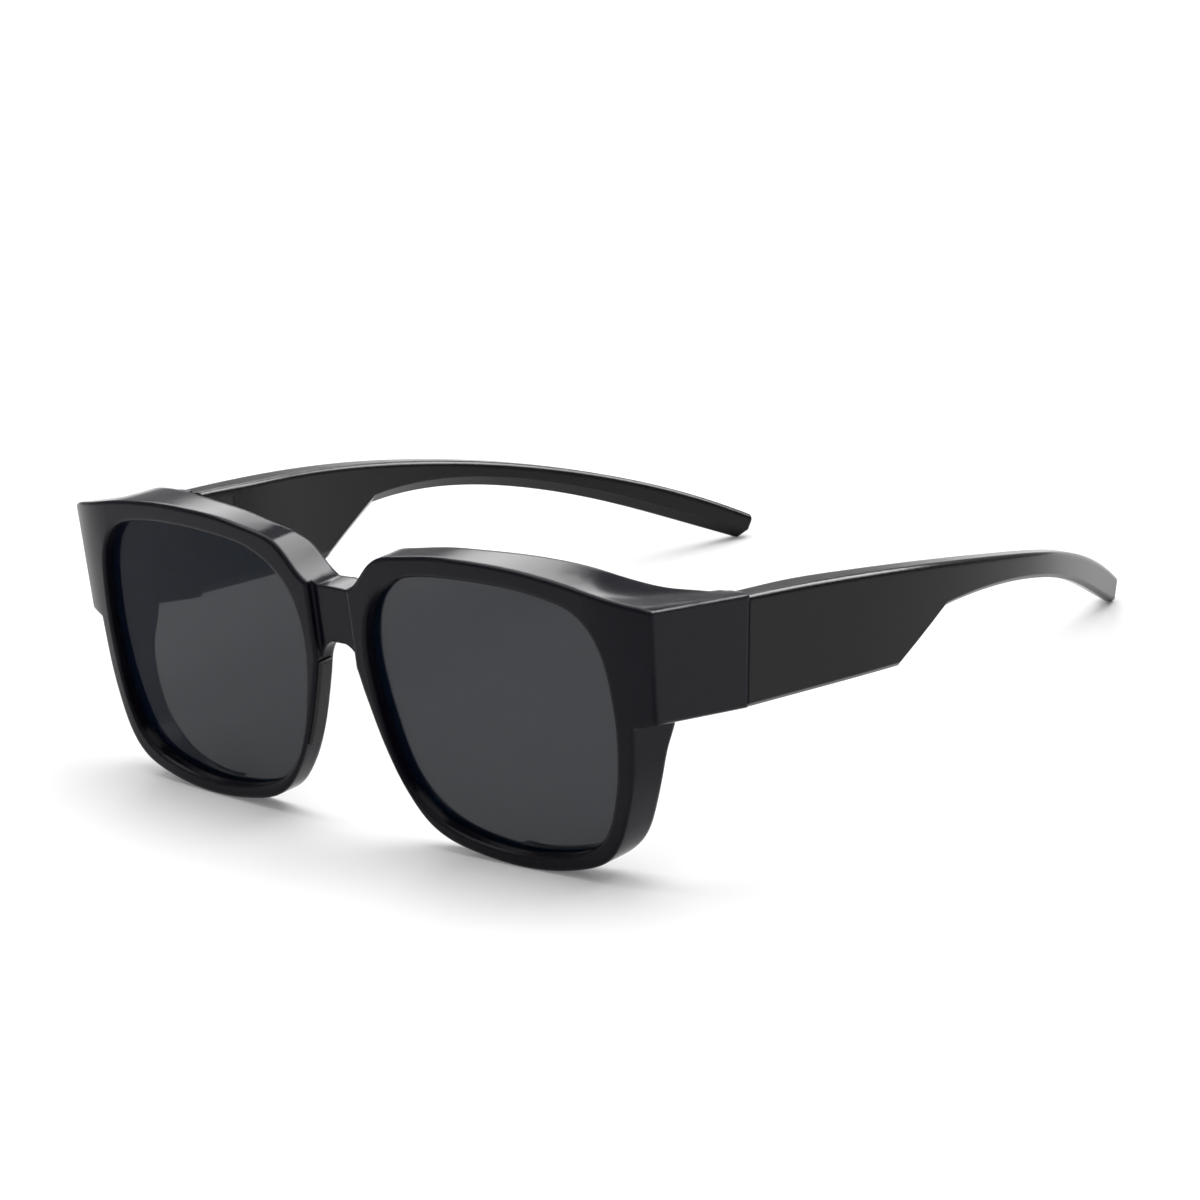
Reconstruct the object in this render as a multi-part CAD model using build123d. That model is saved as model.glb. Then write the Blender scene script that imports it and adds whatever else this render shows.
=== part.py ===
from build123d import *
import math
import os

# Fitover sunglasses: a large frame worn over prescription glasses.
# Lengths are in millimetres, angles in degrees.
# X is across the face (the wearer's left is +X), Y runs back along the temples, Z is up.
# The frame is drawn with Y = 0 at the foremost point of the rims and Z = 0 at their lowest.

# Front: overall sizes and the wrap of its face
front_width = 150.0
front_height = 57.0
wrap_radius = 730.0
corner_wrap_radius = 32.0
corner_width = 13.0
side_draft_angle = 3.6

# Lenses and the rims that hold them
outer_rim_width = 9.05
lens_gap = 16.6
lens_foot = 2.6
brow_rim_height = 3.8
lens_recess = 2.3
lens_thickness = 1.4
lens_bite = 0.7
rear_lip = 0.8
groove_clearance = 0.05
mouth_chamfer = 0.45

# Bridge and the seats of the nose pads
bridge_recess = 1.6
bridge_half_width = 5.2
bridge_drop = 10.1
bridge_height = 10.7
pad_length = 18.0
pad_start = 6.0
pad_width = 3.3
pad_front = 0.8
pad_thickness = 1.1
pad_seat_depth = 0.5
pad_round = 0.5

# Brow shelf, side shields and end blocks
shelf_thickness = 2.4
rim_step = 0.5
block_fall_share = 0.2
block_thickness = 5.8
root_wall = 0.4
root_start = 10.5
root_end = 18.5
edge_round = 0.6

# Temples
seam_depth = 29.2
seam_gap = 0.15
drop_angle = 6.5
temple_length = 134.5
panel_length = 38.0
temple_bevel = 2.0
temple_edge_round = 1.1
under_bevel = 0.8
tip_round = 0.7

# Hinges: leaves, knuckles, pivot screws and leaf screws
hinge_height = 8.0
hinge_drop = 6.25
knuckle_count = 5
knuckle_radius = 1.6
knuckle_gap = 0.06
leaf_thickness = 0.9
leaf_length = 9.6
leaf_clearance = 0.03
barrel_clearance = 0.15
pivot_radius = 0.7
pivot_clearance = 0.04
pivot_head_radius = 1.25
pivot_head_height = 0.7
leaf_screw_radius = 0.6
leaf_screw_head_radius = 1.1
leaf_screw_head_height = 0.5
leaf_screw_length = 3.4
leaf_screw_clearance = 0.03
leaf_screw_shares = [0.36, 0.76]
screw_slot_width = 0.3
screw_slot_depth = 0.3

# How far cutting shapes run past what they cut, and how close counts as lying on the face
cut_overrun = 5.0
face_tolerance = 0.05

# Directions of the brow line where it starts at the end block and where the temple's inner side starts and ends
brow_start_share = (-1, 0.42)
level_share = (-1, 0)
inner_start_share = (0, 1)
inner_end_share = (-1, 2)
facing_share = 0.6

# Half of the front's outline from the bridge down, as shares of the half width and the bridge's underside
rim_shares = [(0.0453, 0.9751), (0.0653, 0.9199), (0.0813, 0.8149), (0.1, 0.6906), (0.1213, 0.5608),
              (0.1453, 0.442), (0.172, 0.3343), (0.2027, 0.2403), (0.244, 0.1464), (0.3027, 0.0746),
              (0.38, 0.0331), (0.4667, 0.0083), (0.5533, 0.0), (0.6467, 0.0138), (0.7333, 0.0497),
              (0.808, 0.1133), (0.8573, 0.232), (0.888, 0.3867), (0.9093, 0.5525), (0.92, 0.7182),
              (0.9253, 0.8287)]

# The brow line, as shares of the half width and the height, and how much of the block's fall each point takes
brow_shares = [(1.0, 0.9246), (0.92, 0.95), (0.824, 0.9667), (0.7, 0.986), (0.5813, 0.9982),
               (0.4667, 1.0), (0.36, 0.9947), (0.2587, 0.9772), (0.1733, 0.9491), (0.132, 0.9035),
               (0.0893, 0.8474), (0.0573, 0.8246)]
brow_fall_shares = [1.0, 1.15, 0.4, 0.05, 0.0, 0.0, 0.0, 0.0, 0.0, 0.0, 0.0, 0.0]

# Where the nose pad's outline is taken along its length
pad_point_shares = [0.0, 0.25, 0.5, 0.75, 1.0]

# The shelf's rear edge in plan, as shares of the end block's inner side and the seam's depth
shelf_shares = [(0.0, 0.2603), (0.0751, 0.2603), (0.1373, 0.2705), (0.1734, 0.2397), (0.2168, 0.2089),
                (0.315, 0.2123), (0.435, 0.2329), (0.5564, 0.274), (0.6431, 0.3151), (0.7269, 0.363),
                (0.8107, 0.4144), (0.8858, 0.4863), (0.9292, 0.5822), (0.9581, 0.6884),
                (0.9841, 0.8562)]

# The side shield's rear edge from the side, as shares of the seam's depth and the block's foot
shield_shares = [(0.5342, 1.0492), (0.5103, 0.8852), (0.4452, 0.7639), (0.411, 0.6393),
                 (0.3904, 0.5082), (0.3767, 0.3934), (0.3664, 0.2885), (0.3356, 0.1836),
                 (0.2603, 0.1049), (0.1712, 0.0459), (0.089, 0.0)]

# The lens outline, as shares of its width and height from its nasal foot
lens_shares = [(0.9991, 0.6008), (0.9887, 0.7391), (0.9592, 0.8498), (0.8933, 0.9348), (0.784, 0.9763),
               (0.6539, 0.9951), (0.5291, 1.0), (0.3504, 0.9941), (0.2116, 0.9723), (0.1145, 0.9229),
               (0.0468, 0.8498), (0.0104, 0.749), (0.0, 0.6403), (0.0139, 0.502), (0.0451, 0.3518),
               (0.0954, 0.2055), (0.1752, 0.1047), (0.2793, 0.0435), (0.4024, 0.0119), (0.5585, 0.0),
               (0.7147, 0.0178), (0.8274, 0.0534), (0.9072, 0.1166), (0.954, 0.2174), (0.987, 0.3735)]

# The temple from the side, as shares of its length and height: top edge, then the arm's lower edge
temple_top_shares = [(0.0, 1.0), (0.268, 0.898), (0.506, 0.697), (0.743, 0.362), (1.0, -0.315)]
arm_foot_shares = [(0.378, 0.421), (0.413, 0.438), (0.461, 0.442), (0.52, 0.42), (0.636, 0.296), (0.773, 0.03),
                   (0.9, -0.31), (0.986, -0.55)]

# The temple's outer and inner sides in plan: shares of its length, then of the half width
# and of the block's inner side
temple_outer_shares = [(0.0, 0.979), (0.169, 1.005), (0.353, 1.02), (0.493, 1.001), (0.625, 0.951),
                       (0.761, 0.861), (0.882, 0.767), (1.015, 0.663)]
temple_inner_shares = [(0.088, 1.0), (0.21, 1.022), (0.353, 1.0383), (0.493, 1.022), (0.618, 0.9711),
                       (0.746, 0.8757), (0.868, 0.7717), (1.0, 0.659)]

# Sizes that follow from the ones above
half_width = front_width / 2
corner_wrap_start = half_width - corner_width
lens_side = half_width - outer_rim_width
lens_width = lens_side - lens_gap / 2
lens_height = front_height - lens_foot - brow_rim_height
bridge_top = front_height - bridge_drop
bridge_foot = bridge_top - bridge_height
block_foot = rim_shares[-1][1] * bridge_foot + rim_step
block_inner_side = half_width - block_thickness
block_root_side = lens_side + root_wall


def polar(centre, radius, angle):
    """A point at an angle from straight ahead (-Y) on a circle in the plan view."""
    return (centre[0] + radius * math.sin(angle), centre[1] - radius * math.cos(angle))


# Plan view of the face: a wide arc across the lenses, then a tighter one to the end block
start_angle = math.asin(corner_wrap_start / wrap_radius)
end_sine = math.sin(start_angle) + (half_width - corner_wrap_start) / corner_wrap_radius
end_angle = math.asin(end_sine)
wrap_centre = (0, wrap_radius)
corner_centre = (
    corner_wrap_start - corner_wrap_radius * math.sin(start_angle),
    wrap_radius - (wrap_radius - corner_wrap_radius) * math.cos(start_angle),
)
block_front_depth = polar(corner_centre, corner_wrap_radius, end_angle)[1]
block_corner_height = brow_shares[0][1] * front_height - block_fall_share * block_front_depth
side_draft = math.tan(math.radians(side_draft_angle))
seam_foot = block_foot - block_fall_share * (seam_depth - block_front_depth)
rim_depth = lens_recess + lens_thickness + rear_lip
drop = math.radians(drop_angle)
block_rise = brow_shares[0][1] * front_height - block_fall_share * seam_depth - seam_foot
temple_height = block_rise / (math.cos(drop) + block_fall_share * math.sin(drop))
hinge_middle = temple_height - hinge_drop
part_depth = seam_depth + temple_height
seam_plane = Plane(origin=(0, seam_depth, seam_foot), x_dir=(1, 0, 0), z_dir=(0, math.sin(drop), math.cos(drop)))


def front_arcs(depth):
    """The face's plan curve at a depth behind its surface, from the middle outwards."""
    wide = wrap_radius - depth
    tight = corner_wrap_radius - depth
    inner = polar(wrap_centre, wide, 0)
    middle = polar(wrap_centre, wide, start_angle / 2)
    joint = polar(wrap_centre, wide, start_angle)
    bend = polar(corner_centre, tight, (start_angle + end_angle) / 2)
    outer = polar(corner_centre, tight, end_angle)
    return [ThreePointArc(inner, middle, joint), ThreePointArc(joint, bend, outer)], inner, outer


def plan_slab(near, far):
    """Everything between two depths behind the face, as high as the front."""
    near_arcs, near_inner, near_outer = front_arcs(near)
    far_arcs, far_inner, far_outer = front_arcs(far)
    ends = [Line(near_inner, far_inner), Line(near_outer, far_outer)]
    slab = make_face(near_arcs + far_arcs + ends)
    return Pos(0, 0, -cut_overrun) * extrude(slab, front_height + 2 * cut_overrun)


def behind_face():
    """Everything behind the face and inside the outer sides."""
    arcs, inner, outer = front_arcs(0)
    edges = [
        *arcs,
        Line(outer, (half_width + cut_overrun, outer[1])),
        Line((half_width + cut_overrun, outer[1]), (half_width + cut_overrun, part_depth)),
        Line((half_width + cut_overrun, part_depth), (0, part_depth)),
        Line((0, part_depth), inner),
    ]
    return Pos(0, 0, -cut_overrun) * extrude(make_face(edges), front_height + 2 * cut_overrun)


def sized(shares, width, height, side=0, foot=0):
    """Outline points from shares of a width and a height."""
    return [(side + width * across, foot + height * up) for across, up in shares]


def brow_line(fall):
    """The brow's top line where the end block has fallen by a height."""
    points = sized(brow_shares, half_width, front_height)
    lowered = [(x, z - fall * share) for (x, z), share in zip(points, brow_fall_shares)]
    foot = (0, bridge_top)
    return Spline([*lowered, foot], tangents=[brow_start_share, level_share]), lowered[0], foot


def front_view(edges):
    """A face in the front view, with its height along Z, drawn at Y = 0."""
    return Plane.XZ * make_face(edges)


def front_outline():
    """Half of the front's outline: bridge, nasal side, rim and end block, open above the brow."""
    rim = sized(rim_shares, half_width, bridge_foot)
    over = front_height + cut_overrun
    block_outer = (half_width - side_draft * (block_corner_height - block_foot), block_foot)
    bridge_end = (rim[0][0] / 2, bridge_foot)
    corner = (half_width, block_corner_height)
    return front_view([
        Line((0, over), (0, bridge_foot)),
        Line((0, bridge_foot), bridge_end),
        Spline([bridge_end, *rim]),
        Line(rim[-1], block_outer),
        Line(block_outer, corner),
        Line(corner, (half_width, over)),
        Line((half_width, over), (0, over)),
    ])


def lens_outline(margin):
    """The lens opening's outline, grown by a margin."""
    points = sized(lens_shares, lens_width, lens_height, lens_side - lens_width, lens_foot)
    outline = Spline(points, periodic=True)
    if margin:
        stations = [number / (2 * len(points)) for number in range(2 * len(points))]
        grown = []
        for station in stations:
            heading = outline.tangent_at(station)
            grown.append(outline.position_at(station) + Vector(heading.Y, -heading.X) * margin)
        outline = Spline(grown, periodic=True)
    return front_view(outline)


def backwards(face, start, end):
    """A front-view face carried from one Y to another."""
    return Pos(0, start, 0) * extrude(face, end - start, dir=(0, 1, 0))


def top_blank():
    """Everything under the brow's top, which falls away over the end block."""
    sections = []
    for depth in (0, part_depth):
        brow, corner, middle = brow_line(block_fall_share * depth)
        under = -cut_overrun
        face = front_view([
            brow,
            Line(middle, (0, under)),
            Line((0, under), (corner[0], under)),
            Line((corner[0], under), corner),
        ])
        sections.append(Pos(0, depth, 0) * face)
    return loft(sections, ruled=True)


def side_limit():
    """Everything inside the drafted outer side."""
    under = -cut_overrun
    over = front_height + cut_overrun
    points = [
        (0, under),
        (half_width - side_draft * (block_corner_height - under), under),
        (half_width + side_draft * (over - block_corner_height), over),
        (0, over),
    ]
    return backwards(front_view(Polyline(*points, close=True)), 0, part_depth)


def seam_depth_at(height):
    """The seam's depth at a height: it leans back with the temple's drop."""
    return seam_depth + (height - seam_foot) * math.tan(drop)


def end_block():
    """The end block, from the face back to the seam."""
    over = front_height + cut_overrun
    foot_at_face = seam_foot + block_fall_share * (seam_depth + cut_overrun)
    points = [
        (-cut_overrun, foot_at_face),
        (seam_depth, seam_foot),
        (seam_depth_at(over), over),
        (-cut_overrun, over),
    ]
    profile = extrude(Plane.YZ * make_face(Polyline(*points, close=True)), half_width + cut_overrun, dir=(1, 0, 0))
    plan_points = [
        (block_root_side, -cut_overrun),
        (block_root_side, root_start),
        (block_inner_side, root_end),
        (block_inner_side, part_depth),
        (half_width + cut_overrun, part_depth),
        (half_width + cut_overrun, -cut_overrun),
    ]
    plan = extrude(make_face(Polyline(*plan_points, close=True)), front_height + cut_overrun)
    return profile & plan & side_limit()


def shelf(blank):
    """The brow shelf, as deep as its rear edge in plan."""
    points = sized(shelf_shares, block_inner_side, seam_depth)
    inner_front = (block_inner_side, points[-1][1] + shelf_thickness)
    outer_rear = (half_width + cut_overrun, inner_front[1])
    edges = [
        Spline([*points, inner_front]),
        Line(inner_front, outer_rear),
        Line(outer_rear, (outer_rear[0], -cut_overrun)),
        Line((outer_rear[0], -cut_overrun), (0, -cut_overrun)),
        Line((0, -cut_overrun), points[0]),
    ]
    plan = extrude(make_face(edges), front_height + cut_overrun)
    return (plan - Pos(0, 0, -shelf_thickness) * blank) & side_limit()


def side_shield(outline, opening):
    """The wall that runs back from the rim under the end block."""
    points = sized(shield_shares, seam_depth, block_foot)
    edges = [
        Spline(points),
        Line(points[-1], (points[-1][0], -cut_overrun)),
        Line((points[-1][0], -cut_overrun), (-cut_overrun, -cut_overrun)),
        Line((-cut_overrun, -cut_overrun), (-cut_overrun, points[0][1])),
        Line((-cut_overrun, points[0][1]), points[0]),
    ]
    start = lens_side - lens_width / 2
    region = Pos(start, 0, 0) * extrude(Plane.YZ * make_face(edges), half_width - start, dir=(1, 0, 0))
    wall = backwards(outline, 0, part_depth) - backwards(opening, -cut_overrun, part_depth)
    return wall & region


def front_half():
    """Half of the front, on the wearer's left, before its rounds and openings."""
    outline = front_outline()
    blank = top_blank()
    rims = backwards(outline, 0, part_depth) & plan_slab(-cut_overrun, rim_depth)
    wall = side_shield(outline, lens_outline(0))
    return (rims + shelf(blank) + end_block() + wall) & behind_face() & blank


def temple_blank():
    """The wearer's left temple in the seam's frame, from its side view and its plan."""
    top = sized(temple_top_shares, temple_length, temple_height)
    arm_foot = sized(arm_foot_shares, temple_length, temple_height)
    heel = (panel_length, 0)
    side = make_face([
        Line((0, 0), heel),
        Line(heel, arm_foot[0]),
        Spline(arm_foot),
        Line(arm_foot[-1], top[-1]),
        Spline(top),
        Line(top[0], (0, 0)),
    ])
    profile = extrude(Plane.YZ * side, half_width + cut_overrun, dir=(1, 0, 0))
    # Shares of the length run along Y here, and shares of a half width along X
    outer = [(half_width * across, temple_length * along) for along, across in temple_outer_shares]
    inner = [(block_inner_side * across, temple_length * along) for along, across in temple_inner_shares]
    reach = (0, outer[-1][1])
    outer_face = make_face([
        Line((0, -cut_overrun), (outer[0][0], -cut_overrun)),
        Line((outer[0][0], -cut_overrun), outer[0]),
        Spline(outer),
        Line(outer[-1], reach),
        Line(reach, (0, -cut_overrun)),
    ])
    draft = Vector(side_draft, 0, 1)
    low = draft * -temple_height
    outer_band = Pos(low) * extrude(outer_face, 2 * temple_height * draft.length + cut_overrun, dir=draft)
    far_side = half_width + 2 * cut_overrun
    inner_face = make_face([
        Line((block_inner_side, -cut_overrun), (block_inner_side, inner[0][1])),
        Spline([(block_inner_side, inner[0][1]), *inner[1:]], tangents=[inner_start_share, inner_end_share]),
        Line(inner[-1], (far_side, inner[-1][1])),
        Line((far_side, inner[-1][1]), (far_side, -cut_overrun)),
        Line((far_side, -cut_overrun), (block_inner_side, -cut_overrun)),
    ])
    inner_band = Pos(0, 0, -temple_height) * extrude(inner_face, 2 * temple_height + cut_overrun)
    return profile & outer_band & inner_band


def edges_of(part, wanted):
    """The edges of a part that pass a test."""
    return [edge for edge in part.edges() if wanted(edge)]


def on_face(edge):
    """Whether an edge lies on the front's outer face, seen in plan."""
    middle = edge.position_at(1 / 2)
    side = abs(middle.X)
    if side < corner_wrap_start:
        miss = math.dist((side, middle.Y), wrap_centre) - wrap_radius
    else:
        miss = math.dist((side, middle.Y), corner_centre) - corner_wrap_radius
    return abs(miss) < face_tolerance


def outlines_face(edge):
    """Whether an edge bounds the outer face; the line between the two wrap arcs does not."""
    size = edge.bounding_box().size
    return on_face(edge) and not (size.X < face_tolerance and size.Z > bridge_foot)


def runs_along_block(edge):
    """Whether an edge is one of the end block's long outer edges."""
    long_enough = edge.bounding_box().size.Y > (block_front_depth + seam_depth) / 2
    return long_enough and abs(edge.center().X) > block_inner_side


def rims_a_lens(edge):
    """Whether an edge is the mouth of a lens opening on the outer face."""
    box = edge.bounding_box()
    centre = abs(box.center().X)
    nasal = centre - box.size.X / 2
    outer = centre + box.size.X / 2
    across = lens_side - lens_width - lens_bite < nasal and outer < lens_side + lens_bite
    in_height = lens_foot - lens_bite < box.min.Z and box.max.Z < lens_foot + lens_height + lens_bite
    return on_face(edge) and across and in_height


def both_sides(shape):
    """A shape on the wearer's left and its mirror image on the right."""
    return [shape, mirror(shape, about=Plane.YZ)]


def lens_slab(near, far, margin):
    """A lens-shaped piece between two depths of the wide wrap."""
    reach = lens_side + cut_overrun
    edges = []
    for radius in (wrap_radius - near, wrap_radius - far):
        angle = math.asin(reach / radius)
        arc_points = [polar(wrap_centre, radius, angle * share) for share in (0, 1 / 2, 1)]
        edges.append((ThreePointArc(*arc_points), arc_points))
    (near_arc, near_points), (far_arc, far_points) = edges
    plan = make_face([near_arc, far_arc, Line(near_points[0], far_points[0]), Line(near_points[-1], far_points[-1])])
    slab = Pos(0, 0, -cut_overrun) * extrude(plan, front_height + 2 * cut_overrun)
    return slab & backwards(lens_outline(margin), -cut_overrun, part_depth)


def nasal_strip(inner, outer):
    """A strip along the nasal wall in the front view, between two distances out of the rim."""
    rim = sized(rim_shares, half_width, bridge_foot)
    wall = Spline([(rim[0][0] / 2, bridge_foot), *rim])
    inner_points = []
    outer_points = []
    for share in pad_point_shares:
        along = pad_start + pad_length * share
        point = wall.position_at(along, position_mode=PositionMode.LENGTH)
        heading = wall.tangent_at(along, position_mode=PositionMode.LENGTH)
        outwards = Vector(heading.Y, -heading.X)
        inner_points.append(point + outwards * inner)
        outer_points.append(point + outwards * outer)
    return front_view([
        Spline(inner_points),
        Line(inner_points[-1], outer_points[-1]),
        Spline(outer_points),
        Line(outer_points[0], inner_points[0]),
    ])


def nose_pad():
    """A soft pad let into the nasal wall of the rim."""
    strip = nasal_strip(-pad_seat_depth, pad_thickness - pad_seat_depth)
    pad = backwards(strip, pad_front, pad_front + pad_width)
    curved = [face for face in pad.faces() if face.geom_type != GeomType.PLANE]
    proud = min(curved, key=lambda face: face.center().X)
    return fillet(proud.edges(), pad_round)


def pad_seat():
    """The shallow pocket the nose pad lies in."""
    return backwards(nasal_strip(-pad_seat_depth, pad_thickness), pad_front, pad_front + pad_width)


# The hinge in the seam's frame: U across, V back from the seam, W up along the seam
hinge_side = block_inner_side + leaf_thickness - knuckle_radius
hinge_foot = hinge_middle - hinge_height / 2
knuckle_height = (hinge_height - knuckle_gap * (knuckle_count - 1)) / knuckle_count
knuckle_pitch = knuckle_height + knuckle_gap
leaf_start = knuckle_radius + barrel_clearance
front_knuckles = range(0, knuckle_count, 2)
temple_knuckles = range(1, knuckle_count, 2)
leaf_screw_stations = [leaf_length * share for share in leaf_screw_shares]


def knuckle(number, way):
    """One knuckle with its root on the leaf, which lies ahead of the seam or behind it."""
    leaf_back = block_inner_side + leaf_thickness
    root = leaf_start + leaf_thickness
    inner_reach = math.sqrt(knuckle_radius**2 - (block_inner_side - hinge_side) ** 2)
    edges = [
        Line((leaf_back, way * root), (leaf_back, 0)),
        ThreePointArc((leaf_back, 0), (hinge_side - knuckle_radius, 0), (block_inner_side, way * inner_reach)),
        Line((block_inner_side, way * inner_reach), (block_inner_side, way * root)),
        Line((block_inner_side, way * root), (leaf_back, way * root)),
    ]
    return Pos(0, 0, hinge_foot + number * knuckle_pitch) * extrude(make_face(edges), knuckle_height)


def upright(radius, height, across, along, foot):
    """A round bar along the seam."""
    return Pos(across, along, foot) * Cylinder(radius, height, align=(Align.CENTER, Align.CENTER, Align.MIN))


def leaf_screw():
    """A countersunk screw whose head is flush at the origin and whose shank runs along Z."""
    low = (Align.CENTER, Align.CENTER, Align.MIN)
    head = Cone(leaf_screw_head_radius, leaf_screw_radius, leaf_screw_head_height, align=low)
    shank = Cylinder(leaf_screw_radius, leaf_screw_length, align=low)
    slot = Box(2 * leaf_screw_head_radius, screw_slot_width, 2 * screw_slot_depth)
    return head + shank - slot


def leaf_screw_hole():
    """The countersunk hole a leaf screw passes through."""
    low = (Align.CENTER, Align.CENTER, Align.MIN)
    head = Cone(leaf_screw_head_radius, leaf_screw_radius, leaf_screw_head_height, align=low)
    return head + Cylinder(leaf_screw_radius + leaf_screw_clearance, leaf_screw_length + leaf_screw_clearance, align=low)


def at_leaf_screws(shape, way):
    """A shape set at each leaf screw, its Z axis pointing out of the leaf into the wall."""
    return [Pos(block_inner_side, way * station, hinge_middle) * Rot(0, 90, 0) * shape for station in leaf_screw_stations]


def hinge_leaf(numbers, way):
    """A hinge leaf: a plate with its knuckles, drilled for its screws and the pivot."""
    length = leaf_length - leaf_start
    plate = Box(leaf_thickness, length, hinge_height, align=(Align.MIN, Align.CENTER, Align.MIN))
    leaf = Pos(block_inner_side, way * (leaf_start + length / 2), hinge_foot) * plate
    for number in numbers:
        leaf += knuckle(number, way)
    leaf -= upright(pivot_radius + pivot_clearance, 3 * hinge_height, hinge_side, 0, hinge_foot - hinge_height)
    for hole in at_leaf_screws(leaf_screw_hole(), way):
        leaf -= hole
    return leaf


def hinge_screw():
    """The pivot screw: a slotted head on the top knuckle and a plain shank through all of them."""
    top = hinge_foot + hinge_height
    shank = upright(pivot_radius, hinge_height, hinge_side, 0, hinge_foot)
    head = upright(pivot_head_radius, pivot_head_height, hinge_side, 0, top)
    slot = Box(2 * pivot_head_radius, screw_slot_width, 2 * screw_slot_depth)
    return shank + head - Pos(hinge_side, 0, top + pivot_head_height) * slot


def hinge_seat(way):
    """What is cut from a wall for a leaf, its screws and the barrel, open at the top for the pivot screw."""
    height = hinge_height + 2 * leaf_clearance
    length = leaf_length + leaf_clearance
    pocket = Box(2 * leaf_thickness, length, height, align=(Align.CENTER, Align.CENTER, Align.MIN))
    foot = hinge_foot - leaf_clearance
    cuts = [Pos(block_inner_side, way * length / 2, foot) * pocket]
    cuts.append(upright(knuckle_radius + barrel_clearance, temple_height, hinge_side, 0, hinge_foot - barrel_clearance))
    cuts.extend(at_leaf_screws(leaf_screw_hole(), way))
    return cuts


def front_frame():
    """The whole front: rims, bridge, shelf, side shields and end blocks, with its small cuts."""
    half = front_half()
    front = half + mirror(half, about=Plane.YZ)
    front -= Box(2 * bridge_half_width, 2 * bridge_recess, 2 * front_height + 2 * cut_overrun)
    front = fillet(edges_of(front, outlines_face) + edges_of(front, runs_along_block), edge_round)
    opening = backwards(lens_outline(0), -cut_overrun, rim_depth + block_front_depth)
    front -= both_sides(opening)
    front = chamfer(edges_of(front, rims_a_lens), mouth_chamfer)
    grown = lens_bite + groove_clearance
    groove = lens_slab(lens_recess - groove_clearance, lens_recess + lens_thickness + groove_clearance, grown)
    front -= both_sides(groove)
    front -= both_sides(pad_seat())
    for cut in hinge_seat(-1):
        front -= both_sides(seam_plane * cut)
    return front


def looking(part, direction):
    """The faces of a part that look one way."""
    return [face for face in part.faces() if face.normal_at().dot(Vector(*direction)) > facing_share]


def between(part, one_way, other_way):
    """The edges where faces that look one way meet faces that look another way."""
    others = [edge for face in looking(part, other_way) for edge in face.edges()]
    ones = [edge for face in looking(part, one_way) for edge in face.edges()]
    return [edge for edge in ones if any(edge.is_same(other) for other in others)]


def temple():
    """The wearer's left temple in the seam's frame."""
    inwards, outwards, backs = (-1, 0, 0), (1, 0, 0), (0, 1, 0)
    up, down = (0, 0, 1), (0, 0, -1)
    arm = chamfer(between(temple_blank(), inwards, down), temple_bevel)
    arm = fillet(between(arm, inwards, up) + between(arm, outwards, up), temple_edge_round)
    arm = chamfer(between(arm, outwards, down), under_bevel)
    tip = max(looking(arm, backs), key=lambda face: face.center().Y)
    arm = fillet(tip.edges(), tip_round)
    arm -= Pos(half_width, 0, 0) * Box(front_width, 2 * seam_gap, 4 * temple_height)
    for cut in hinge_seat(1):
        arm -= cut
    return arm


# Every piece on the wearer's left, in the front's frame; the right side mirrors them
left_pieces = {
    "lens": lens_slab(lens_recess, lens_recess + lens_thickness, lens_bite),
    "nose_pad": nose_pad(),
    "temple": seam_plane * temple(),
    "front_hinge_leaf": seam_plane * hinge_leaf(front_knuckles, -1),
    "temple_hinge_leaf": seam_plane * hinge_leaf(temple_knuckles, 1),
    "hinge_screw": seam_plane * hinge_screw(),
    "front_leaf_screws": seam_plane * Compound(at_leaf_screws(leaf_screw(), -1)),
    "temple_leaf_screws": seam_plane * Compound(at_leaf_screws(leaf_screw(), 1)),
}
pieces = {"front_frame": front_frame()}
for name, piece in left_pieces.items():
    pieces[name + "_left"] = piece
    pieces[name + "_right"] = mirror(piece, about=Plane.YZ)

# The origin moves to the middle of the footprint, on the ground
whole = Compound(list(pieces.values())).bounding_box()
shift = Pos(0, -whole.center().Y, -whole.min.Z)
os.makedirs("parts", exist_ok=True)
for name, piece in pieces.items():
    export_step(shift * piece, f"parts/{name}.step")
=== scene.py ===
"""Fitover sunglasses on a white sweep: finishes, floor, wall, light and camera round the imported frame."""

import logging
import math
from dataclasses import dataclass
from enum import Enum
from typing import Any

import bpy
from mathutils import Matrix, Vector

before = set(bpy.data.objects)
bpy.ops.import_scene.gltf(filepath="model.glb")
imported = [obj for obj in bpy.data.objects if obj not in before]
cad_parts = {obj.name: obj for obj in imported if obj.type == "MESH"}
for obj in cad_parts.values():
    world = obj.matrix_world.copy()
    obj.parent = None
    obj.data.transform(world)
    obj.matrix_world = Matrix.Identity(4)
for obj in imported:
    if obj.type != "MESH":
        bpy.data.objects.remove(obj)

LOG = logging.getLogger("fitover")
MM = 0.001
NOISE_MIDDLE = 0.5
NOISE_ROUGHNESS = 0.55
BEVEL_SAMPLES = 6

Colour = tuple[float, float, float, float]
Point = tuple[float, float, float]


def grey(level: float, blue: float = 0.0) -> Colour:
    """A near-neutral colour.

    Args:
        level: Linear brightness.
        blue: What is added to the blue channel.

    Returns:
        The colour with full alpha.
    """
    return (level, level, level + blue, 1.0)


WHITE = grey(1.0)


class Side(Enum):
    """The wearer's two sides."""

    LEFT = "left"
    RIGHT = "right"


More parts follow.
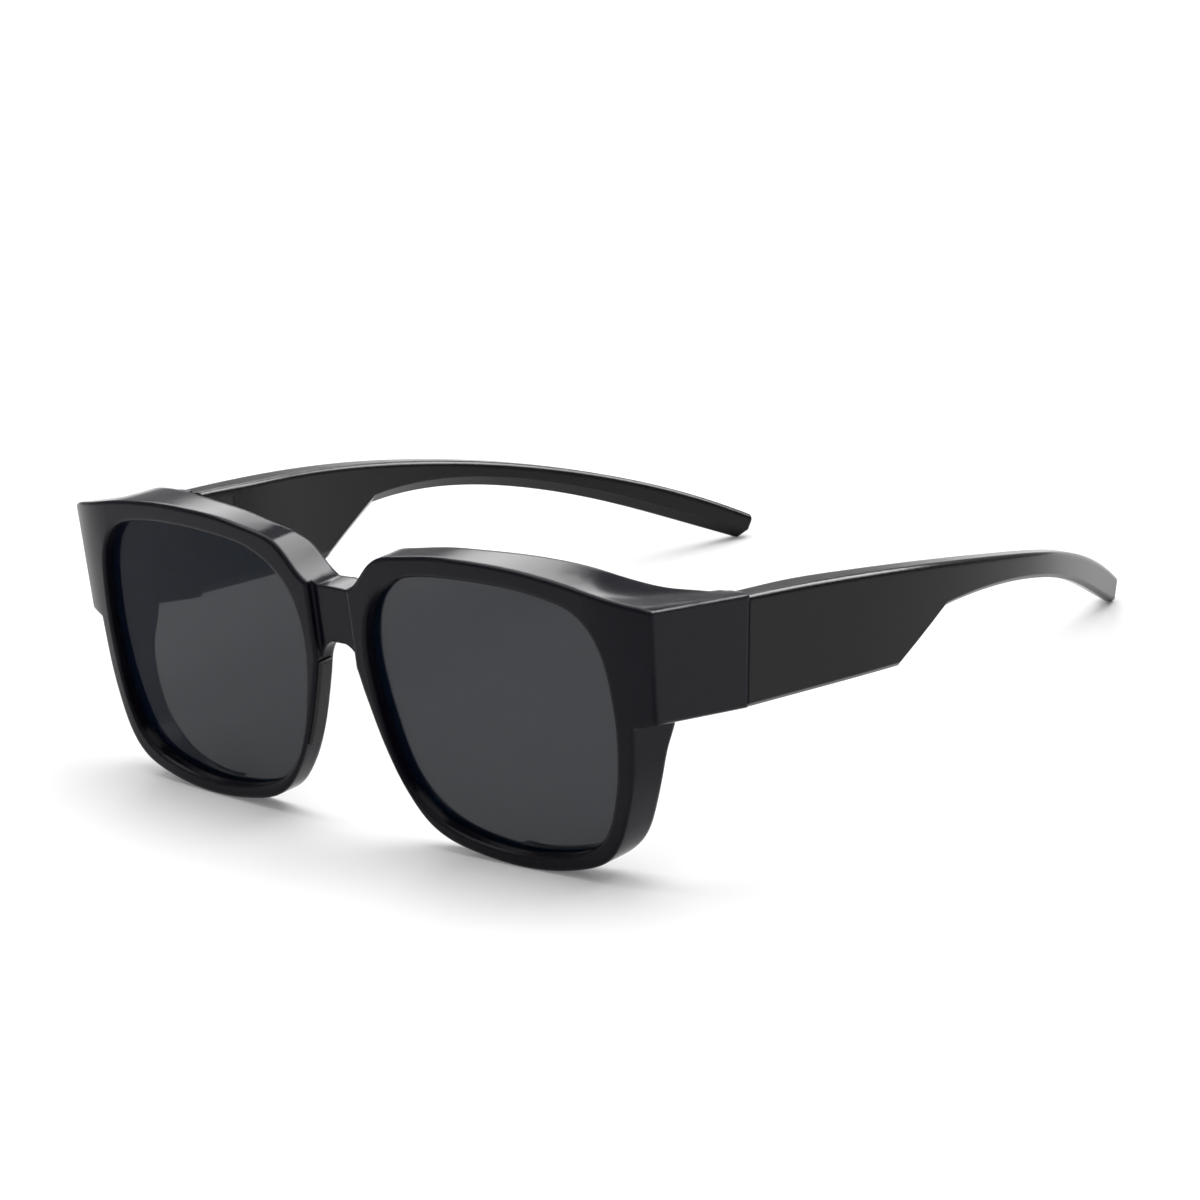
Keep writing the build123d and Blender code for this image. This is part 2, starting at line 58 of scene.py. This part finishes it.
class Value:
    """A shader socket with arithmetic: each expression adds its Math node."""

    def __init__(self, graph: "Graph", socket: bpy.types.NodeSocket) -> None:
        """Keeps the socket and the graph that it belongs to."""
        self.graph = graph
        self.socket = socket

    def _math(self, operation: str, first: Any, second: Any) -> "Value":
        """Adds a Math node.

        Args:
            operation: The Math node's operation.
            first: The first operand, a Value or a number.
            second: The second operand, a Value or a number.

        Returns:
            The result.
        """
        return self.graph.value("ShaderNodeMath", 0, {"operation": operation}, {0: first, 1: second})

    def __add__(self, other: Any) -> "Value":
        """self + other."""
        return self._math("ADD", self, other)

    def __radd__(self, other: Any) -> "Value":
        """other + self."""
        return self._math("ADD", other, self)

    def __sub__(self, other: Any) -> "Value":
        """self - other."""
        return self._math("SUBTRACT", self, other)

    def __rsub__(self, other: Any) -> "Value":
        """other - self."""
        return self._math("SUBTRACT", other, self)

    def __mul__(self, other: Any) -> "Value":
        """self * other."""
        return self._math("MULTIPLY", self, other)

    def __rmul__(self, other: Any) -> "Value":
        """other * self."""
        return self._math("MULTIPLY", other, self)

    def at_most(self, limit: float) -> "Value":
        """The smaller of self and a limit."""
        return self._math("MINIMUM", self, limit)


class Graph:
    """A material's or the world's node tree, emptied and rebuilt."""

    def __init__(self, tree: bpy.types.NodeTree) -> None:
        """Empties the tree."""
        self.tree = tree
        tree.nodes.clear()

    def add(self, kind: str, settings: dict[str, Any] | None = None,
            inputs: dict[Any, Any] | None = None) -> bpy.types.Node:
        """Adds one node.

        Args:
            kind: The node's type.
            settings: Its properties, which are set first.
            inputs: Values or links by socket name or number.

        Returns:
            The node.
        """
        node = self.tree.nodes.new(kind)
        for name, value in (settings or {}).items():
            setattr(node, name, value)
        for key, value in (inputs or {}).items():
            socket = node.inputs[key]
            if isinstance(value, Value):
                self.tree.links.new(value.socket, socket)
            elif isinstance(value, bpy.types.NodeSocket):
                self.tree.links.new(value, socket)
            else:
                socket.default_value = value
        return node

    def value(self, kind: str, output: Any, settings: dict[str, Any] | None = None,
              inputs: dict[Any, Any] | None = None) -> Value:
        """Adds a node and wraps one of its outputs.

        Args:
            kind: The node's type.
            output: The output's name or number.
            settings: Its properties.
            inputs: Its values or links.

        Returns:
            The output.
        """
        return Value(self, self.add(kind, settings, inputs).outputs[output])

    def mix(self, factor: Any, first: Any, second: Any) -> Value:
        """Mixes two colours.

        Args:
            factor: The share of the second.
            first: The colour at 0.
            second: The colour at 1.

        Returns:
            The mixed colour.
        """
        settings = {"data_type": "RGBA", "blend_type": "MIX"}
        return self.value("ShaderNodeMix", 2, settings, {0: factor, 6: first, 7: second})

    def background_rays(self) -> Value:
        """Whether a ray shows the background: a camera, glossy or transmission ray.

        Returns:
            1 for those rays and 0 for the rest.
        """
        path = self.add("ShaderNodeLightPath")
        camera = Value(self, path.outputs["Is Camera Ray"])
        glossy = Value(self, path.outputs["Is Glossy Ray"])
        through = Value(self, path.outputs["Is Transmission Ray"])
        return (camera + glossy + through).at_most(1.0)

    def show(self, shader: bpy.types.Node) -> None:
        """Leads a shader to the material's output."""
        self.add("ShaderNodeOutputMaterial", {}, {"Surface": shader.outputs[0]})


@dataclass(frozen=True)
class Noise:
    """Noise on a piece's own coordinates.

    Args:
        scale: Cells per metre.
        detail: Octaves.
        stretch: How much the pattern is squeezed along each axis.
    """

    scale: float
    detail: float
    stretch: Point = (1.0, 1.0, 1.0)

    def on(self, graph: Graph) -> Value:
        """Adds the noise.

        Args:
            graph: The material's graph.

        Returns:
            The noise, about 0 to 1.
        """
        place = graph.add("ShaderNodeTexCoord").outputs["Object"]
        mapped = graph.value("ShaderNodeMapping", 0, {}, {"Vector": place, "Scale": self.stretch})
        return graph.value("ShaderNodeTexNoise", 0, {"noise_dimensions": "3D"}, {
            "Vector": mapped, "Scale": self.scale, "Detail": self.detail, "Roughness": NOISE_ROUGHNESS})


@dataclass(frozen=True)
class Surface:
    """What each finish of the object has: a name, and two tones that a pattern mixes."""

    name: str
    dark: Colour
    light: Colour

    def shader(self, graph: Graph) -> bpy.types.Node:
        """The finish's shader, which each kind of finish builds for itself."""
        raise NotImplementedError

    def material(self) -> bpy.types.Material:
        """Builds the material.

        Returns:
            The material.
        """
        made = bpy.data.materials.new(self.name)
        made.use_nodes = True
        graph = Graph(made.node_tree)
        graph.show(self.shader(graph))
        return made


@dataclass(frozen=True)
class MouldedPlastic(Surface):
    """Injection-moulded plastic: near black, with a faint flow tone, an uneven skin and soft edges."""

    roughness: float
    specular: float
    skin: Noise
    edge_softness: float
    roughness_spread: float = 0.05
    skin_strength: float = 0.25
    skin_depth: float = 0.01 * MM
    flow: Noise = Noise(38.0, 4.0, (1.0, 0.45, 1.0))
    handling: Noise = Noise(160.0, 5.0)

    def shader(self, graph: Graph) -> bpy.types.Node:
        """Builds the shader.

        Args:
            graph: The material's graph.

        Returns:
            The shader's node.
        """
        tone = graph.mix(self.flow.on(graph), self.dark, self.light)
        rough = self.roughness + (self.handling.on(graph) - NOISE_MIDDLE) * self.roughness_spread
        soft_edge = graph.value("ShaderNodeBevel", 0, {"samples": BEVEL_SAMPLES}, {"Radius": self.edge_softness})
        bump = graph.value("ShaderNodeBump", 0, {}, {
            "Height": self.skin.on(graph), "Strength": self.skin_strength, "Distance": self.skin_depth,
            "Normal": soft_edge})
        return graph.add("ShaderNodeBsdfPrincipled", {}, {
            "Base Color": tone, "Roughness": rough, "Specular IOR Level": self.specular, "Normal": bump})


@dataclass(frozen=True)
class SmokeLens(Surface):
    """A tinted lens that lets a little light through each of its faces."""

    face_alpha: float = 0.8
    roughness: float = 0.02
    smear_roughness: float = 0.02
    specular: float = 0.082
    cloud: Noise = Noise(22.0, 2.0)
    smear: Noise = Noise(120.0, 4.0, (1.0, 1.0, 0.35))

    def shader(self, graph: Graph) -> bpy.types.Node:
        """Builds the shader.

        Args:
            graph: The material's graph.

        Returns:
            The shader's node.
        """
        tone = graph.mix(self.cloud.on(graph), self.dark, self.light)
        rough = self.roughness + self.smear.on(graph) * self.smear_roughness
        return graph.add("ShaderNodeBsdfPrincipled", {}, {
            "Base Color": tone, "Roughness": rough, "Specular IOR Level": self.specular,
            "Alpha": self.face_alpha})


@dataclass(frozen=True)
class SoftPad(Surface):
    """Matt soft rubber of the nose pads."""

    roughness: float = 0.5
    patch_roughness: float = 0.15
    specular: float = 0.3
    grain_strength: float = 0.3
    grain_depth: float = 0.04 * MM
    grain: Noise = Noise(2600.0, 3.0)
    patch: Noise = Noise(140.0, 3.0)

    def shader(self, graph: Graph) -> bpy.types.Node:
        """Builds the shader.

        Args:
            graph: The material's graph.

        Returns:
            The shader's node.
        """
        patch = self.patch.on(graph)
        bump = graph.value("ShaderNodeBump", 0, {}, {
            "Height": self.grain.on(graph), "Strength": self.grain_strength, "Distance": self.grain_depth})
        return graph.add("ShaderNodeBsdfPrincipled", {}, {
            "Base Color": graph.mix(patch, self.dark, self.light),
            "Roughness": self.roughness + patch * self.patch_roughness,
            "Specular IOR Level": self.specular, "Normal": bump})


@dataclass(frozen=True)
class BrushedHinge(Surface):
    """Blackened steel of the hinge leaves and screws, with fine brush marks."""

    roughness: float = 0.3
    brush_roughness: float = 0.15
    brush_strength: float = 0.2
    brush_depth: float = 0.02 * MM
    brush: Noise = Noise(900.0, 4.0, (1.0, 0.08, 1.0))
    tarnish: Noise = Noise(300.0, 3.0)

    def shader(self, graph: Graph) -> bpy.types.Node:
        """Builds the shader.

        Args:
            graph: The material's graph.

        Returns:
            The shader's node.
        """
        brush = self.brush.on(graph)
        bump = graph.value("ShaderNodeBump", 0, {}, {
            "Height": brush, "Strength": self.brush_strength, "Distance": self.brush_depth})
        return graph.add("ShaderNodeBsdfPrincipled", {}, {
            "Base Color": graph.mix(self.tarnish.on(graph), self.dark, self.light), "Metallic": 1.0,
            "Roughness": self.roughness + brush * self.brush_roughness, "Normal": bump})


class Finish(Enum):
    """The object's finishes."""

    FRONT = MouldedPlastic(
        "front_gloss_black", (0.0024, 0.002, 0.0056, 1.0), (0.0044, 0.004, 0.008, 1.0),
        roughness=0.16, specular=0.118, skin=Noise(900.0, 2.0), edge_softness=0.9 * MM)
    TEMPLE = MouldedPlastic(
        "temple_satin_black", grey(0.0048), grey(0.0078, 0.0006),
        roughness=0.19, specular=0.167, skin=Noise(1300.0, 2.0), edge_softness=0.5 * MM)
    LENS = SmokeLens("smoke_lens", (0.0004, 0.0075, 0.0145, 1.0), (0.0042, 0.0048, 0.015, 1.0))
    PAD = SoftPad("pad_rubber", grey(0.008), grey(0.012))
    HINGE = BrushedHinge("hinge_blackened", grey(0.02), grey(0.035))

    def material(self) -> bpy.types.Material:
        """The finish's material, built once."""
        return bpy.data.materials.get(self.value.name) or self.value.material()


def dress(node: str, finish: Finish) -> None:
    """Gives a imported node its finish.

    Args:
        node: The node's name.
        finish: The finish.
    """
    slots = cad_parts[node].data.materials
    for number in range(len(slots)):
        slots[number] = finish.material()
    LOG.info("dressed %s in %s", node, finish.value.name)


@dataclass(frozen=True)
class FrontSet:
    """The front with its lenses and nose pads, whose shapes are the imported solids' own."""

    moulding: str = "front_frame"

    def dress(self) -> None:
        """Gives each piece of the front its finish."""
        dress(self.moulding, Finish.FRONT)
        for side in Side:
            dress(f"lens_{side.value}", Finish.LENS)
            dress(f"nose_pad_{side.value}", Finish.PAD)


@dataclass(frozen=True)
class TempleSet:
    """One temple with its hinge leaves and screws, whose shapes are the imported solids' own."""

    side: Side
    hardware: tuple[str, ...] = (
        "front_hinge_leaf", "temple_hinge_leaf", "hinge_screw", "front_leaf_screws", "temple_leaf_screws")

    def dress(self) -> None:
        """Gives each piece on this side its finish."""
        dress(f"temple_{self.side.value}", Finish.TEMPLE)
        for part in self.hardware:
            dress(f"{part}_{self.side.value}", Finish.HINGE)


@dataclass(frozen=True)
class Softbox:
    """A rectangular studio lamp.

    Args:
        name: The lamp's name.
        place: Where it stands.
        aim: The point that it faces.
        width: Its width.
        height: Its height.
        power: Its power in watts.
        gloss_only: Whether it shows in glossy reflections and lights nothing else.
    """

    name: str
    place: Point
    aim: Point
    width: float
    height: float
    power: float
    gloss_only: bool = False

    def build(self) -> None:
        """Adds the lamp."""
        data = bpy.data.lights.new(self.name, "AREA")
        data.shape = "RECTANGLE"
        data.size = self.width
        data.size_y = self.height
        data.energy = self.power
        lamp = bpy.data.objects.new(self.name, data)
        lamp.location = self.place
        heading = Vector(self.aim) - Vector(self.place)
        lamp.rotation_mode = "QUATERNION"
        lamp.rotation_quaternion = heading.to_track_quat("-Z", "Y")
        lamp.visible_diffuse = not self.gloss_only
        bpy.context.scene.collection.objects.link(lamp)


@dataclass(frozen=True)
class Paper:
    """Matt studio paper, which may glow a little where it is seen.

    Args:
        name: The material's name.
        white: How white it is.
        glow: The share of plain white in what a background ray sees.
    """

    name: str
    white: float
    glow: float = 0.0

    def material(self) -> bpy.types.Material:
        """Builds the material.

        Returns:
            The material.
        """
        made = bpy.data.materials.new(self.name)
        made.use_nodes = True
        graph = Graph(made.node_tree)
        shader = graph.add("ShaderNodeBsdfDiffuse", {}, {"Color": grey(self.white)})
        if self.glow:
            light = graph.add("ShaderNodeEmission", {}, {"Color": WHITE, "Strength": 1.0})
            shader = graph.add("ShaderNodeMixShader", {}, {
                0: graph.background_rays() * self.glow, 1: shader.outputs[0], 2: light.outputs[0]})
        graph.show(shader)
        return made


@dataclass(frozen=True)
class Studio:
    """White floor, a round paper wall and soft light, in metres."""

    floor_reach: float = 6.0
    wall_radius: float = 3.2
    wall_height: float = 2.7
    wall_sides: int = 96
    floor_paper: Paper = Paper("white_paper", 0.9, 0.12)
    wall_paper: Paper = Paper("wall_paper", 0.74)
    sky_light: float = 0.45
    lamps: tuple[Softbox, ...] = (
        Softbox("overhead_box", (-0.08, 0.3, 1.4), (0.0, 0.0, 0.0), 2.4, 1.0, 31.0),
        Softbox("back_box", (-0.95, 0.85, 0.62), (0.0, -0.06, 0.05), 0.7, 0.34, 4.0),
        Softbox("edge_box", (0.2, 1.0, 1.0), (0.07, 0.0, 0.04), 0.9, 0.7, 38.0, gloss_only=True),
    )

    def build(self) -> None:
        """Adds the floor, the wall, the world and the lamps."""
        self._floor()
        self._wall()
        self._sky()
        for lamp in self.lamps:
            lamp.build()
        LOG.info("studio with %d lamps", len(self.lamps))

    @staticmethod
    def _sheet(name: str, points: list[Point], faces: list[tuple[int, ...]], paper: Paper) -> None:
        """Adds a staged sheet of paper.

        Args:
            name: The sheet's name.
            points: Its corners.
            faces: The corners' numbers for each face.
            paper: Its finish.
        """
        mesh = bpy.data.meshes.new(name)
        mesh.from_pydata(points, [], faces)
        mesh.materials.append(paper.material())
        sheet = bpy.data.objects.new(name, mesh)
        bpy.context.scene.collection.objects.link(sheet)

    def _floor(self) -> None:
        """Adds the floor, which keeps the object's shadow."""
        reach = self.floor_reach
        corners = [(-reach, -reach, 0), (reach, -reach, 0), (reach, reach, 0), (-reach, reach, 0)]
        self._sheet("floor", corners, [(0, 1, 2, 3)], self.floor_paper)

    def _wall(self) -> None:
        """Adds the round wall that stands behind the object on every side and faces inwards."""
        count = self.wall_sides
        turns = [math.tau * number / count for number in range(count)]
        foot = [(self.wall_radius * math.cos(turn), self.wall_radius * math.sin(turn), 0) for turn in turns]
        head = [(x, y, self.wall_height) for x, y, _ in foot]
        faces = [((number + 1) % count, number, count + number, count + (number + 1) % count)
                 for number in range(count)]
        self._sheet("paper_wall", foot + head, faces, self.wall_paper)

    def _sky(self) -> None:
        """Adds the world: white where it is seen, and a plain soft light elsewhere."""
        world = bpy.data.worlds.new("sweep")
        world.use_nodes = True
        graph = Graph(world.node_tree)
        strength = graph.background_rays() * (1.0 - self.sky_light) + self.sky_light
        glow = graph.add("ShaderNodeBackground", {}, {"Color": WHITE, "Strength": strength})
        graph.add("ShaderNodeOutputWorld", {}, {"Surface": glow.outputs[0]})
        bpy.context.scene.world = world


@dataclass(frozen=True)
class Viewpoint:
    """The photograph's camera: angles in degrees, lens and sensor in millimetres, the rest in metres."""

    azimuth: float = 45.448
    elevation: float = 18.382
    roll: float = -6.999
    distance: float = 978.08 * MM
    target: Point = (1.985 * MM, -14.311 * MM, 23.556 * MM)
    lens: float = 154.67
    sensor: float = 36.0
    clip_near_share: float = 0.05
    clip_far_share: float = 40.0

    def build(self) -> None:
        """Adds the camera."""
        turn, rise, roll = (math.radians(angle) for angle in (self.azimuth, self.elevation, self.roll))
        back = Vector((math.sin(turn) * math.cos(rise), -math.cos(turn) * math.cos(rise), math.sin(rise)))
        right = (-back).cross(Vector((0, 0, 1))).normalized()
        up = right.cross(-back)
        right, up = (right * math.cos(roll) + up * math.sin(roll),
                     up * math.cos(roll) - right * math.sin(roll))
        data = bpy.data.cameras.new("camera")
        data.lens = self.lens
        data.sensor_width = self.sensor
        data.clip_start = self.distance * self.clip_near_share
        data.clip_end = self.distance * self.clip_far_share
        camera = bpy.data.objects.new("camera", data)
        bpy.context.scene.collection.objects.link(camera)
        turned = Matrix((right, up, back)).transposed().to_4x4()
        camera.matrix_world = Matrix.Translation(Vector(self.target) + back * self.distance) @ turned
        bpy.context.scene.camera = camera
        bpy.context.scene.view_settings.view_transform = "Standard"


def main() -> None:
    """Builds the scene in order."""
    logging.basicConfig(level=logging.INFO, format="%(name)s: %(message)s")
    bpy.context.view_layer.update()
    for piece in (FrontSet(), *(TempleSet(side) for side in Side)):
        piece.dress()
    Studio().build()
    Viewpoint().build()


if __name__ == "__main__":
    main()
